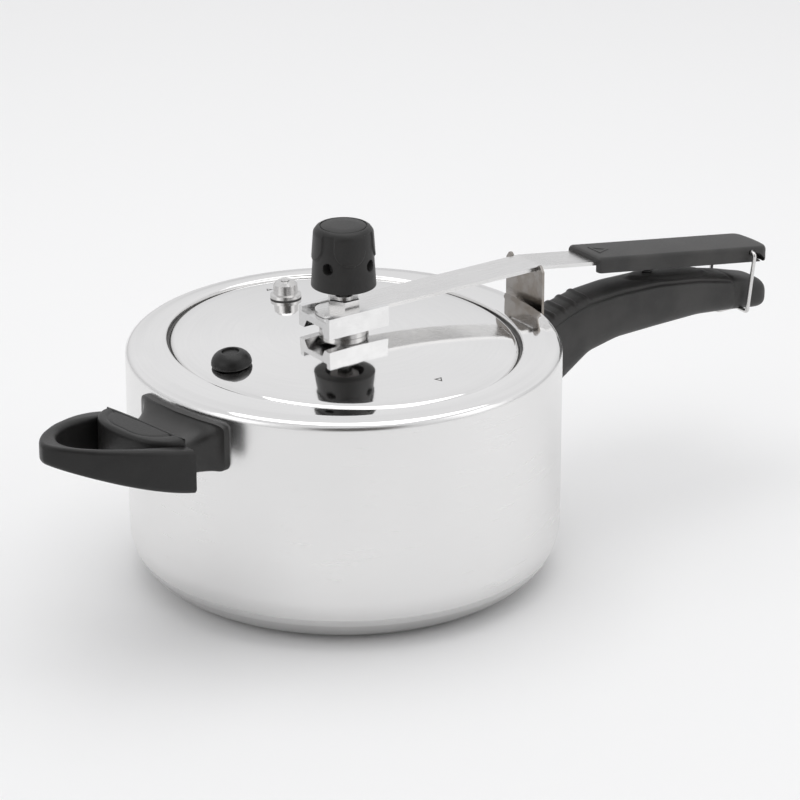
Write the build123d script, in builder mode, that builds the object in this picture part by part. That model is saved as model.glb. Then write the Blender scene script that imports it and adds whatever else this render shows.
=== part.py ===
"""Stovetop pressure cooker with an inner oval lid, lever arm and wire bail.

Units are millimetres. The origin is the centre of the flat base, +Z is up and
+X points along the main handle. The helper handle is on the -X side.
"""

import os
from math import cos, degrees, radians, sin, tan

from build123d import *

# Pot
POT_RADIUS = 110.0
POT_WALL = 2.6
BASE_RADIUS = 84.0
BASE_THICKNESS = 4.0
RIM_TOP = 120.6
RIM_ROUNDING = 4.0
LIP_TOP = 121.8
LIP_THICKNESS = 2.4
MOUTH_X = 86.7
MOUTH_Y = 95.3

# Lid
LID_GAP = 1.5
FLANGE_REACH = 5.9
LID_THICKNESS = 2.4
LID_CROWN_TOP = 126.0
LID_DOME_RADIUS = 900.0
LID_EDGE_ROUNDING = 3.0
FLANGE_BOTTOM = 113.8
FLANGE_TOP = 116.0
FACE_GAP = 0.3

# Bridge, lever arm and fulcrum
BOSS_HEIGHT = 3.2
BOSS_RADIUS = 12.5
BRIDGE_LENGTH = 36.0
BRIDGE_WIDTH = 27.2
BRIDGE_HEIGHT = 10.8
ARM_WIDTH = 20.6
ARM_THICKNESS = 2.0
ARM_TOP = 139.2
ARM_INNER_END = -15.0
ARM_BEND_X = 116.0
ARM_SLOPE = 8.5
ARM_OUTER_END = 258.0
PLATE_X = 113.4
PLATE_THICKNESS = 1.5
PLATE_WIDTH = 31.0
PLATE_BOTTOM = 70.0
EAR_HEIGHT = 4.4

# Vent, regulator weight, safety valve and plug
STUD_RADIUS = 5.0
VENT_NECK_RADIUS = 4.0
VENT_TIP = 158.0
NUT_ACROSS_FLATS = 15.0
NUT_HEIGHT = 5.5
WEIGHT_BOTTOM = 152.6
WEIGHT_HEIGHT = 30.0
WEIGHT_RADIUS = 16.2
WEIGHT_TOP_RADIUS = 14.4
WEIGHT_HOLE_START = 45.0
VALVE_X = 5.0
VALVE_Y = 60.5
PLUG_X = -67.0

# Handles
LID_HANDLE_START = 151.5
LID_HANDLE_END = 268.5
LID_HANDLE_WIDTH = 27.2
LID_HANDLE_COVER = 3.0
LID_HANDLE_DEPTH = 8.8
RIVET_RADIUS = 2.5
RIVET_SPOTS = (176.0, 240.0)
RIVET_ALIGN = (Align.CENTER, Align.CENTER, Align.CENTER)
HANDLE_ROOT_X = PLATE_X + PLATE_THICKNESS / 2
HELPER_AZIMUTH = 189.5
HELPER_ROOT = 132.0
HELPER_TIP = 196.5
HELPER_HALF_WIDTH = 36.2
HELPER_SCREW_Z = 99.0
HELPER_SCREW_LENGTH = 36.0
SADDLE_MIDDLE = 102.6
SADDLE_HEIGHT = 25.0
SADDLE_HALF_ANGLE = 15.5

# Bail
WIRE_RADIUS = 1.1
BAIL_PIVOT_X = 250.0
BAIL_PIVOT_Z = 86.4
BAIL_TOP_X = 254.0
BAIL_TOP_Z = 118.4
BAIL_HALF_WIDTH = 16.6
BAIL_SWING_PER_LIFT = 12.0

ARM_BOTTOM = ARM_TOP - ARM_THICKNESS
BOSS_TOP = LID_CROWN_TOP + BOSS_HEIGHT
BRIDGE_TOP = BOSS_TOP + BRIDGE_HEIGHT
HINGE_Z = ARM_BOTTOM - FACE_GAP - PLATE_THICKNESS / 2
LIP_BOTTOM = LIP_TOP - LIP_THICKNESS
CROWN_X = MOUTH_X - LID_GAP
CROWN_Y = MOUTH_Y - LID_GAP


def arm_top_at(x):
    return ARM_TOP - max(0.0, x - ARM_BEND_X) * tan(radians(ARM_SLOPE))


def dome_z(x, y):
    wide_x = x * CROWN_Y / CROWN_X
    return LID_CROWN_TOP - (wide_x * wide_x + y * y) / (2 * LID_DOME_RADIUS)


def dome_place(x, y):
    lean_x = degrees(y / LID_DOME_RADIUS)
    lean_y = degrees(x * (CROWN_Y / CROWN_X) ** 2 / LID_DOME_RADIUS)
    return Location((x, y, dome_z(x, y)), (-lean_x, lean_y, 0))


def box_between(low, high, mode=Mode.ADD):
    size = [high[i] - low[i] for i in range(3)]
    with Locations(tuple((low[i] + high[i]) / 2 for i in range(3))):
        Box(*size, mode=mode)


def rounded_section(x, z_middle, width, height, corner):
    with BuildSketch(Plane(origin=(x, 0, z_middle), x_dir=(0, 1, 0), z_dir=(1, 0, 0))) as section:
        RectangleRounded(width, height, corner)
    return section.sketch.face()


def lever_frame(x):
    slope = radians(ARM_SLOPE)
    return Plane(origin=(x, 0, arm_top_at(x)), x_dir=(cos(slope), 0, -sin(slope)), z_dir=(sin(slope), 0, cos(slope)))


# Pot body: drawn aluminium shell with an inturned shoulder and an oval mouth
with BuildPart() as pot_body:
    with BuildSketch(Plane.XZ):
        with BuildLine():
            Line((0, 0), (BASE_RADIUS, 0))
            RadiusArc((BASE_RADIUS, 0), (POT_RADIUS, POT_RADIUS - BASE_RADIUS), -(POT_RADIUS - BASE_RADIUS))
            Line((POT_RADIUS, POT_RADIUS - BASE_RADIUS), (POT_RADIUS, RIM_TOP - RIM_ROUNDING))
            RadiusArc((POT_RADIUS, RIM_TOP - RIM_ROUNDING), (POT_RADIUS - RIM_ROUNDING, RIM_TOP), -RIM_ROUNDING)
            Spline(
                (POT_RADIUS - RIM_ROUNDING, RIM_TOP), (101.5, LIP_TOP),
                tangents=[(-1, 0.05), (-1, 0)],
            )
            Polyline((101.5, LIP_TOP), (60, LIP_TOP), (60, LIP_BOTTOM), (101.5, LIP_BOTTOM))
            Spline((101.5, LIP_BOTTOM), (POT_RADIUS - POT_WALL, 112.5), tangents=[(1, 0), (0, -1)])
            Line((POT_RADIUS - POT_WALL, 112.5), (POT_RADIUS - POT_WALL, 27.0))
            Spline(
                (POT_RADIUS - POT_WALL, 27.0), (BASE_RADIUS - 1, BASE_THICKNESS),
                tangents=[(0, -1), (-1, 0)],
            )
            Polyline((BASE_RADIUS - 1, BASE_THICKNESS), (0, BASE_THICKNESS), (0, 0))
        make_face()
    revolve(axis=Axis.Z)
    with BuildSketch(Plane.XY.offset(LIP_BOTTOM - 2)):
        Ellipse(MOUTH_X, MOUTH_Y)
    extrude(amount=LIP_THICKNESS + 4, mode=Mode.SUBTRACT)
    mouth_edges = pot_body.edges().filter_by(lambda e: 540 < e.length < 600 and e.center().Z > LIP_BOTTOM - 1)
    fillet(mouth_edges.sort_by(Axis.Z)[-1], 0.9)

# Pad welded to the wall, flat outside, that carries the plate and the main handle
with BuildPart() as handle_pad:
    box_between((105, -15.5, 66), (PLATE_X - PLATE_THICKNESS / 2, 15.5, 110))
    fillet(handle_pad.edges().filter_by(Axis.X), 3)
    Cylinder(POT_RADIUS, 300, mode=Mode.SUBTRACT)
    with Locations(Location((PLATE_X, 0, 78), (0, 90, 0)), Location((PLATE_X, 0, 97), (0, 90, 0))):
        Cylinder(2.5, 8, mode=Mode.SUBTRACT)

# Fulcrum plate with two ears around the lever arm
with BuildPart() as fulcrum_plate:
    low_x = PLATE_X - PLATE_THICKNESS / 2
    box_between((low_x, -PLATE_WIDTH / 2, PLATE_BOTTOM), (low_x + PLATE_THICKNESS, PLATE_WIDTH / 2, HINGE_Z))
    with Locations(Location((PLATE_X, 0, HINGE_Z), (90, 0, 0))):
        Cylinder(PLATE_THICKNESS / 2, PLATE_WIDTH)
    for side in (-1, 1):
        near = side * (ARM_WIDTH / 2 + 0.45)
        far = side * PLATE_WIDTH / 2
        with BuildSketch(Plane.YZ.offset(low_x)) as ear:
            with BuildLine():
                Polyline(
                    (near, HINGE_Z - 1), (near, HINGE_Z + EAR_HEIGHT - 1.2),
                    (near + side * 1.2, HINGE_Z + EAR_HEIGHT), (near + side * 2.6, HINGE_Z + EAR_HEIGHT),
                    (far, HINGE_Z + 1.5), (far, HINGE_Z - 1), (near, HINGE_Z - 1),
                )
            make_face()
        extrude(amount=PLATE_THICKNESS)
    with Locations(Location((PLATE_X, 0, 78), (0, 90, 0)), Location((PLATE_X, 0, 97), (0, 90, 0))):
        Cylinder(3.3, 8, mode=Mode.SUBTRACT)

# Main handle: moulded phenolic with ribs, a thumb pad and a bail groove
with BuildPart() as main_handle:
    loft([
        rounded_section(HANDLE_ROOT_X, 84.0, 34, 46, 9),
        rounded_section(123, 87.0, 30, 42, 9),
        rounded_section(135, 92.2, 26, 39, 9),
        rounded_section(149, 98.6, 25, 32.6, 8.5),
        rounded_section(168, 101.2, 25.5, 29.8, 8.5),
        rounded_section(195, 101.2, 26, 28.4, 8.5),
        rounded_section(222, 99.4, 26.5, 23.4, 8),
        rounded_section(245, 95.6, 27, 20, 7.5),
        rounded_section(260, 92.3, 26, 17, 7),
        rounded_section(269, 90.9, 20, 12, 5),
    ])
    fillet(main_handle.faces().sort_by(Axis.X)[-1].edges(), 3)
    for x, z in ((128, 108.4), (134, 111.2), (140.5, 113.3), (147.5, 114.4)):
        with Locations(Location((x, 0, z), (90, 0, 0))):
            Cylinder(1.1, 19)
    with BuildSketch(Plane(origin=(207, 0, 115.1), x_dir=(1, 0, -0.125), z_dir=(0.125, 0, 1))):
        Ellipse(27, 8.2)
    extrude(amount=-6)
    with Locations(Location((BAIL_PIVOT_X, 0, BAIL_PIVOT_Z), (90, 0, 0))):
        Cylinder(WIRE_RADIUS + FACE_GAP, 60, mode=Mode.SUBTRACT)
    groove = WIRE_RADIUS + FACE_GAP
    box_between((BAIL_PIVOT_X - groove, -30, 76), (BAIL_PIVOT_X + groove, 30, BAIL_PIVOT_Z), Mode.SUBTRACT)
    box_between((BAIL_PIVOT_X - 10, -5, 76), (BAIL_PIVOT_X + 10, 5, BAIL_PIVOT_Z - groove), Mode.SUBTRACT)
    with Locations((BAIL_PIVOT_X + 6, 0, 88), (BAIL_PIVOT_X - 6, 0, 88)):
        Cylinder(1.2, 10, mode=Mode.SUBTRACT)
    for z in (78, 97):
        with Locations(Location((HANDLE_ROOT_X + 10, 0, z), (0, 90, 0))):
            Cylinder(4.2, 20, mode=Mode.SUBTRACT)

# Threaded brass inserts moulded into the handle root
with BuildPart() as handle_inserts:
    for z in (78, 97):
        with Locations(Location((HANDLE_ROOT_X + 8.5, 0, z), (0, 90, 0))):
            Cylinder(4.2, 17)
            Cylinder(2.5, 17, mode=Mode.SUBTRACT)

# Studs from the pad through the plate into the inserts
with BuildPart() as handle_studs:
    for z in (78, 97):
        with Locations(Location((POT_RADIUS + 1.2, 0, z), (0, 90, 0))):
            Cylinder(2.5, 18, align=(Align.CENTER, Align.CENTER, Align.MIN))

# Strap that keeps the bail wire in its groove, and its two screws
with BuildPart() as bail_keeper:
    strap_top = BAIL_PIVOT_Z - WIRE_RADIUS - FACE_GAP
    box_between((BAIL_PIVOT_X - 9.5, -4.5, strap_top - 0.9), (BAIL_PIVOT_X + 9.5, 4.5, strap_top))
    fillet(bail_keeper.edges().filter_by(Axis.Z), 2)
    with Locations((BAIL_PIVOT_X + 6, 0, strap_top), (BAIL_PIVOT_X - 6, 0, strap_top)):
        Cylinder(1.2, 6, mode=Mode.SUBTRACT)
with BuildPart() as keeper_screws:
    for x in (BAIL_PIVOT_X - 6, BAIL_PIVOT_X + 6):
        with Locations((x, 0, strap_top - 0.9)):
            Cylinder(1.2, 7, align=(Align.CENTER, Align.CENTER, Align.MIN))
            Cylinder(2.3, 0.9, align=(Align.CENTER, Align.CENTER, Align.MAX))

# Wire bail: cross bar under the handle, two legs and two inturned pins
with BuildPart() as bail:
    with BuildLine() as bail_path:
        pin_inner = LID_HANDLE_WIDTH / 2 - 2.4
        FilletPolyline(
            (BAIL_TOP_X, -pin_inner, BAIL_TOP_Z), (BAIL_TOP_X, -BAIL_HALF_WIDTH, BAIL_TOP_Z),
            (BAIL_PIVOT_X, -BAIL_HALF_WIDTH, BAIL_PIVOT_Z), (BAIL_PIVOT_X, BAIL_HALF_WIDTH, BAIL_PIVOT_Z),
            (BAIL_TOP_X, BAIL_HALF_WIDTH, BAIL_TOP_Z), (BAIL_TOP_X, pin_inner, BAIL_TOP_Z),
            radius=1.6,
        )
    with BuildSketch(Plane(origin=(BAIL_TOP_X, -pin_inner, BAIL_TOP_Z), z_dir=(0, -1, 0))):
        Circle(WIRE_RADIUS)
    sweep()

# Helper saddle: black plate that hugs the wall, with a flared neck
with BuildPart() as helper_saddle:
    with BuildSketch(Plane.XZ.rotated((0, 0, -SADDLE_HALF_ANGLE))):
        with Locations((POT_RADIUS + 1.5, SADDLE_MIDDLE)):
            Rectangle(3, SADDLE_HEIGHT)
    revolve(axis=Axis.Z, revolution_arc=2 * SADDLE_HALF_ANGLE)
    corners = helper_saddle.edges().filter_by(GeomType.LINE).filter_by(lambda e: abs(e.length - 3) < 0.01)
    fillet(corners, 2.5)
    loft([
        rounded_section(104, SADDLE_MIDDLE - 1, 56, 22.5, 5),
        rounded_section(POT_RADIUS + 4, SADDLE_MIDDLE - 1.8, 45, 21, 5),
        rounded_section(HELPER_ROOT - 9, SADDLE_MIDDLE - 3.2, 40, 20, 5),
        rounded_section(HELPER_ROOT, SADDLE_MIDDLE - 4, 40, 19.6, 5),
    ])
    Cylinder(POT_RADIUS, 300, mode=Mode.SUBTRACT)
    with Locations(Location((POT_RADIUS, 0, HELPER_SCREW_Z), (0, 90, 0))):
        Cylinder(2.6, 60, mode=Mode.SUBTRACT)

# Solid pad at the root of the helper handle
with BuildPart() as helper_pad:
    with BuildSketch(Plane.XY.offset(84)):
        with BuildLine():
            Line((HELPER_ROOT, -28.5), (HELPER_ROOT, 28.5))
            Spline(
                (HELPER_ROOT, 28.5), (HELPER_ROOT + 14.5, 22.5), (HELPER_ROOT + 19, 4),
                (HELPER_ROOT + 15, -15), (HELPER_ROOT, -28.5), tangents=[(1, 0), (-1, -0.5)],
            )
        make_face()
    extrude(amount=40)
    with BuildSketch(Plane.XZ.offset(-60)):
        with BuildLine():
            Polyline(
                (HELPER_ROOT, 89.5), (HELPER_ROOT + 21, 97), (HELPER_ROOT + 21, 115.8),
                (HELPER_ROOT, 114.9), (HELPER_ROOT, 89.5),
            )
        make_face()
    extrude(amount=120, mode=Mode.INTERSECT)
    fillet(helper_pad.edges().filter_by(lambda e: e.center().Z > 110), 1.2)

# Helper handle: tapered finger loop
with BuildPart() as helper_handle:
    with BuildSketch(Plane.XY.offset(60)):
        with BuildLine():
            Line((HELPER_ROOT, -HELPER_HALF_WIDTH), (HELPER_ROOT, HELPER_HALF_WIDTH))
            Spline(
                (HELPER_ROOT, HELPER_HALF_WIDTH), (151, 32.3), (165, 27), (178, 20.2), (188.5, 12.8),
                (HELPER_TIP, 0), (188.5, -12.8), (178, -20.2), (165, -27), (151, -32.3),
                (HELPER_ROOT, -HELPER_HALF_WIDTH), tangents=[(1, -0.1), (-1, -0.1)],
            )
        make_face()
    extrude(amount=70)
    with BuildSketch(Plane.XZ.offset(-60)):
        with BuildLine():
            Spline((HELPER_ROOT, 88.2), (152, 93.9), (172, 101.4), (HELPER_TIP + 1, 112.3))
            Line((HELPER_TIP + 1, 112.3), (HELPER_TIP + 1, 121.2))
            Spline((HELPER_TIP + 1, 121.2), (172, 118.4), (152, 115.0), (HELPER_ROOT, 110.7))
            Line((HELPER_ROOT, 110.7), (HELPER_ROOT, 88.2))
        make_face()
    extrude(amount=120, mode=Mode.INTERSECT)
    fillet(helper_handle.edges().filter_by(lambda e: e.length > 120), 2.8)
    with BuildSketch(Plane.XY.offset(60)):
        with BuildLine():
            Line((145, 25.4), (145, -25.4))
            Spline(
                (145, -25.4), (157, -23.4), (170, -17.8), (179.8, -9.8), (183.5, 0), (179.8, 9.8),
                (170, 17.8), (157, 23.4), (145, 25.4), tangents=[(1, 0.08), (-1, 0.08)],
            )
        make_face()
    extrude(amount=70, mode=Mode.SUBTRACT)
    add(helper_pad.part)
    with Locations(Location((POT_RADIUS, 0, HELPER_SCREW_Z), (0, 90, 0))):
        Cylinder(2.6, 2 * HELPER_SCREW_LENGTH, mode=Mode.SUBTRACT)

with BuildPart() as helper_screw:
    with Locations(Location((POT_RADIUS, 0, HELPER_SCREW_Z), (0, 90, 0))):
        Cylinder(2.6, HELPER_SCREW_LENGTH, align=(Align.CENTER, Align.CENTER, Align.MIN))

# Lid plate: domed oval with a down-turned crown and a seating flange,
# revolved as a round lid and then narrowed along X
HOLE_SPOTS = ((0, 0, STUD_RADIUS), (VALVE_X, VALVE_Y, STUD_RADIUS + 0.3), (PLUG_X, 0, 7.3))
INNER_Y = CROWN_Y - LID_THICKNESS
EDGE_Z = LID_CROWN_TOP - CROWN_Y ** 2 / (2 * LID_DOME_RADIUS)
with BuildPart() as lid_plate:
    with BuildSketch(Plane.YZ):
        with BuildLine():
            Polyline(
                (INNER_Y, EDGE_Z - 4.6), (INNER_Y, FLANGE_BOTTOM), (CROWN_Y + FLANGE_REACH, FLANGE_BOTTOM),
                (CROWN_Y + FLANGE_REACH, FLANGE_TOP), (CROWN_Y, FLANGE_TOP), (CROWN_Y, EDGE_Z - LID_EDGE_ROUNDING),
            )
            Spline(
                (CROWN_Y, EDGE_Z - LID_EDGE_ROUNDING), (CROWN_Y - LID_EDGE_ROUNDING, EDGE_Z + 0.25),
                tangents=[(0, 1), (-1, 0.1)],
            )
            Spline(
                (CROWN_Y - LID_EDGE_ROUNDING, EDGE_Z + 0.25), (0, LID_CROWN_TOP),
                tangents=[(-1, 0.1), (-1, 0)],
            )
            Line((0, LID_CROWN_TOP), (0, LID_CROWN_TOP - LID_THICKNESS))
            Spline(
                (0, LID_CROWN_TOP - LID_THICKNESS), (INNER_Y - 2, EDGE_Z - 2.1),
                tangents=[(1, 0), (1, -0.1)],
            )
            Line((INNER_Y - 2, EDGE_Z - 2.1), (INNER_Y, EDGE_Z - 4.6))
        make_face()
    revolve(axis=Axis.Z)
    scale(by=(CROWN_X / CROWN_Y, 1, 1))
    for x, y, hole in HOLE_SPOTS:
        with Locations((x, y, 120)):
            Cylinder(hole, 40, mode=Mode.SUBTRACT)

# Seal that the lid presses up against the lip
with BuildPart() as lid_gasket:
    with BuildSketch(Plane.XY.offset(FLANGE_TOP)):
        Ellipse(CROWN_X + FLANGE_REACH - 1, CROWN_Y + FLANGE_REACH - 0.6)
        Ellipse(CROWN_X + 0.05, CROWN_Y + 0.05, mode=Mode.SUBTRACT)
    extrude(amount=LIP_BOTTOM - FACE_GAP - FLANGE_TOP)

# Boss washer between the lid and the bridge
with BuildPart() as boss:
    with Locations((0, 0, LID_CROWN_TOP)):
        Cylinder(BOSS_RADIUS, BOSS_HEIGHT, align=(Align.CENTER, Align.CENTER, Align.MIN))
    with Locations((0, 0, 128)):
        Cylinder(STUD_RADIUS, 20, mode=Mode.SUBTRACT)
    fillet(boss.edges().group_by(Axis.Z)[-1].sort_by(SortBy.RADIUS)[-1], 0.8)

# Extruded aluminium bridge that holds the arm
with BuildPart() as bridge:
    half = BRIDGE_WIDTH / 2
    wall = 3.0
    floor_top = BRIDGE_TOP - 3.0
    floor_bottom = floor_top - 3.4
    with BuildSketch(Plane.YZ.offset(-BRIDGE_LENGTH / 2)):
        with BuildLine():
            Polyline(
                (-half, BOSS_TOP), (-half, BRIDGE_TOP), (-half + wall, BRIDGE_TOP), (-half + wall, floor_top),
                (half - wall, floor_top), (half - wall, BRIDGE_TOP), (half, BRIDGE_TOP), (half, BOSS_TOP),
                (half - wall - 1.5, BOSS_TOP), (half - wall - 4.0, floor_bottom),
                (-half + wall + 4.0, floor_bottom), (-half + wall + 1.5, BOSS_TOP), (-half, BOSS_TOP),
            )
        make_face()
    extrude(amount=BRIDGE_LENGTH)
    with Locations((0, 0, 134)):
        Cylinder(STUD_RADIUS, 20, mode=Mode.SUBTRACT)

# Lever arm: bent stainless strip
with BuildPart() as lever_arm:
    with BuildSketch(Plane.XZ.offset(-ARM_WIDTH / 2)):
        with BuildLine():
            Polyline(
                (ARM_INNER_END, ARM_TOP), (ARM_BEND_X, ARM_TOP), (ARM_OUTER_END, arm_top_at(ARM_OUTER_END)),
                (ARM_OUTER_END, arm_top_at(ARM_OUTER_END) - ARM_THICKNESS),
                (ARM_BEND_X, ARM_BOTTOM), (ARM_INNER_END, ARM_BOTTOM), (ARM_INNER_END, ARM_TOP),
            )
        make_face()
    extrude(amount=ARM_WIDTH)
    fillet(lever_arm.edges().filter_by(Axis.Z).sort_by(Axis.X)[:2], 9.5)
    with Locations((0, 0, ARM_TOP)):
        Cylinder(STUD_RADIUS, 20, mode=Mode.SUBTRACT)
    for x in RIVET_SPOTS:
        with Locations(lever_frame(x)):
            Cylinder(RIVET_RADIUS, 12, mode=Mode.SUBTRACT)


# Where the bail's pin runs in the lid handle as the lever lifts and the bail swings out
def pin_in_handle(lift):
    swing = radians(lift * BAIL_SWING_PER_LIFT)
    turn = radians(lift)
    reach_x = BAIL_TOP_X - BAIL_PIVOT_X
    reach_z = BAIL_TOP_Z - BAIL_PIVOT_Z
    world_x = BAIL_PIVOT_X + reach_x * cos(swing) + reach_z * sin(swing)
    world_z = BAIL_PIVOT_Z - reach_x * sin(swing) + reach_z * cos(swing)
    from_x = world_x - PLATE_X
    from_z = world_z - HINGE_Z
    x = PLATE_X + from_x * cos(turn) + from_z * sin(turn)
    z = HINGE_Z - from_x * sin(turn) + from_z * cos(turn)
    return x, z


# Lid handle: phenolic channel over the arm, with hook slots for the bail pins
with BuildPart() as lid_handle:
    half = LID_HANDLE_WIDTH / 2
    with BuildSketch(Plane.XY.offset(90)):
        with BuildLine():
            Polyline(
                (LID_HANDLE_END - 7, -half), (LID_HANDLE_START, -half),
                (LID_HANDLE_START, half), (LID_HANDLE_END - 7, half),
            )
            ThreePointArc((LID_HANDLE_END - 7, half), (LID_HANDLE_END, 0), (LID_HANDLE_END - 7, -half))
        make_face()
    extrude(amount=60)
    with BuildSketch(Plane.XZ.offset(-40)):
        with BuildLine():
            start_top = arm_top_at(LID_HANDLE_START) + LID_HANDLE_COVER
            end_top = arm_top_at(LID_HANDLE_END) + LID_HANDLE_COVER
            Polyline(
                (LID_HANDLE_START, start_top - LID_HANDLE_DEPTH), (LID_HANDLE_START, start_top),
                (LID_HANDLE_END, end_top), (LID_HANDLE_END, end_top - LID_HANDLE_DEPTH),
                (LID_HANDLE_START, start_top - LID_HANDLE_DEPTH),
            )
        make_face()
    extrude(amount=80, mode=Mode.INTERSECT)
    fillet(lid_handle.faces().filter_by(lambda f: f.normal_at().Z > 0.9)[0].edges(), 1.8)
    with BuildSketch(Plane.XZ.offset(-ARM_WIDTH / 2 - 0.15)):
        with BuildLine():
            channel_start = arm_top_at(LID_HANDLE_START - 2)
            channel_end = arm_top_at(ARM_OUTER_END)
            Polyline(
                (LID_HANDLE_START - 2, channel_start), (ARM_OUTER_END, channel_end), (ARM_OUTER_END, 90),
                (LID_HANDLE_START - 2, 90), (LID_HANDLE_START - 2, channel_start),
            )
        make_face()
    extrude(amount=ARM_WIDTH + 0.3, mode=Mode.SUBTRACT)
    for x in RIVET_SPOTS:
        with Locations(lever_frame(x)):
            Cylinder(RIVET_RADIUS, 12, mode=Mode.SUBTRACT)
            with Locations((0, 0, LID_HANDLE_COVER)):
                Cylinder(4.2, 2.8, mode=Mode.SUBTRACT)
    with BuildSketch(Plane.XZ.offset(-half - 1)):
        with Locations(*[pin_in_handle(lift) for lift in (0, 0.5, 1.0, 1.5, 2.0)]):
            Circle(WIRE_RADIUS + FACE_GAP + 0.1)
        make_hull()
    extrude(amount=LID_HANDLE_WIDTH + 2, mode=Mode.SUBTRACT)

# Rivets that hold the lid handle to the arm
with BuildPart() as handle_rivets:
    for x in RIVET_SPOTS:
        with Locations(lever_frame(x)):
            Cylinder(RIVET_RADIUS, ARM_THICKNESS + 1.2 + LID_HANDLE_COVER - 1.4, align=RIVET_ALIGN)
            with Locations((0, 0, LID_HANDLE_COVER - 1.4)):
                Cylinder(3.9, 1.0, align=(Align.CENTER, Align.CENTER, Align.MIN))
            with Locations((0, 0, -ARM_THICKNESS)):
                Cylinder(4.2, 1.2, align=(Align.CENTER, Align.CENTER, Align.MAX))

# Vent tube: the central stud that clamps lid, boss, bridge and arm
with BuildPart() as vent_tube:
    inner_top = LID_CROWN_TOP - LID_THICKNESS
    with BuildSketch(Plane.XZ):
        with BuildLine():
            Polyline(
                (1.5, inner_top - 5.5), (8, inner_top - 5.5), (8, inner_top - 1.5), (STUD_RADIUS, inner_top - 1.5),
                (STUD_RADIUS, ARM_TOP + NUT_HEIGHT + 1), (VENT_NECK_RADIUS, ARM_TOP + NUT_HEIGHT + 2),
                (VENT_NECK_RADIUS, VENT_TIP - 3), (2.2, VENT_TIP), (1.5, VENT_TIP), (1.5, inner_top - 5.5),
            )
        make_face()
    revolve(axis=Axis.Z)

# Seal under the lid around the vent tube
with BuildPart() as vent_seal:
    with Locations((0, 0, inner_top - 1.5)):
        Cylinder(8, 1.4, align=(Align.CENTER, Align.CENTER, Align.MIN))
        Cylinder(STUD_RADIUS, 9, mode=Mode.SUBTRACT)

# Clamp nut over the arm
with BuildPart() as clamp_nut:
    with BuildSketch(Plane.XY.offset(ARM_TOP)):
        RegularPolygon(NUT_ACROSS_FLATS / 2, 6, major_radius=False)
        Circle(STUD_RADIUS, mode=Mode.SUBTRACT)
    extrude(amount=NUT_HEIGHT)
    chamfer(clamp_nut.edges().group_by(Axis.Z)[-1].filter_by(GeomType.LINE), 0.5)

# Regulator weight: phenolic shield cap over a metal core
WEIGHT_TOP = WEIGHT_BOTTOM + WEIGHT_HEIGHT
with BuildPart() as weight_cap:
    with BuildSketch(Plane.XZ):
        with BuildLine():
            Polyline(
                (10.2, WEIGHT_BOTTOM), (WEIGHT_RADIUS, WEIGHT_BOTTOM), (WEIGHT_TOP_RADIUS, WEIGHT_TOP),
                (11.6, WEIGHT_TOP), (11.6, WEIGHT_TOP - 1.2), (4, WEIGHT_TOP - 1.2),
                (4, WEIGHT_TOP - 6), (10.2, WEIGHT_TOP - 6), (10.2, WEIGHT_BOTTOM),
            )
        make_face()
    revolve(axis=Axis.Z)
    rims = weight_cap.edges().filter_by(GeomType.CIRCLE)
    fillet(rims.filter_by(lambda e: abs(e.radius - WEIGHT_TOP_RADIUS) < 0.1), 2.2)
    rims = weight_cap.edges().filter_by(GeomType.CIRCLE)
    fillet(rims.filter_by(lambda e: abs(e.radius - WEIGHT_RADIUS) < 0.01), 0.8)
    with PolarLocations(0, 4, start_angle=WEIGHT_HOLE_START):
        with Locations(Location((13, 0, WEIGHT_BOTTOM + 9), (0, 90, 0))):
            Cylinder(2.1, 12, mode=Mode.SUBTRACT)
with BuildPart() as weight_core:
    with BuildSketch(Plane.XZ):
        with BuildLine():
            Polyline(
                (VENT_NECK_RADIUS + 0.4, WEIGHT_BOTTOM + 1), (7.8, WEIGHT_BOTTOM + 1), (7.8, WEIGHT_TOP - 6),
                (0, WEIGHT_TOP - 6), (0, VENT_TIP - 2.2), (1.1, VENT_TIP + 0.4), (4.4, VENT_TIP + 0.4),
                (4.4, WEIGHT_BOTTOM + 1),
            )
        make_face()
    revolve(axis=Axis.Z)
    with Locations((0, 0, WEIGHT_TOP - 6)):
        Cylinder(10.2, 3, align=(Align.CENTER, Align.CENTER, Align.MAX))
        Cylinder(4, 4.8, align=(Align.CENTER, Align.CENTER, Align.MIN))
with BuildPart() as weight_disc:
    with Locations((0, 0, WEIGHT_TOP - 1.2)):
        Cylinder(11.6, 0.9, align=(Align.CENTER, Align.CENTER, Align.MIN))

# Safety valve: hollow steel body, pin, spring and the nut under the lid
with BuildPart() as valve_body:
    with BuildSketch(Plane.XZ):
        with BuildLine():
            Polyline(
                (2.2, -9), (STUD_RADIUS, -9), (STUD_RADIUS, 0.6), (8, 0.6), (8, 2.2), (6.4, 2.8), (6.2, 7.4),
                (5.0, 9.0), (2.2, 9.0), (2.2, 7.8), (4.0, 7.8), (4.0, -6), (2.2, -6), (2.2, -9),
            )
        make_face()
    revolve(axis=Axis.Z)
with BuildPart() as valve_pin:
    with BuildSketch(Plane.XZ):
        with BuildLine():
            Polyline(
                (0, -13.4), (3.4, -13.4), (3.4, -11.9), (1.85, -11.9), (1.85, -5.6), (3.6, -5.6), (3.6, -4.4),
                (1.85, -4.4), (1.85, 9.2), (1.4, 9.8), (0, 9.8), (0, -13.4),
            )
        make_face()
    revolve(axis=Axis.Z)
with BuildPart() as valve_spring:
    with BuildSketch(Plane.XY.offset(-4.2)):
        Circle(3.7)
        Circle(2.4, mode=Mode.SUBTRACT)
    extrude(amount=11.7)
with BuildPart() as valve_nut:
    with BuildSketch(Plane.XY.offset(-LID_THICKNESS - 5.6)):
        RegularPolygon(7, 6, major_radius=False)
        Circle(STUD_RADIUS, mode=Mode.SUBTRACT)
    extrude(amount=4)
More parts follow.
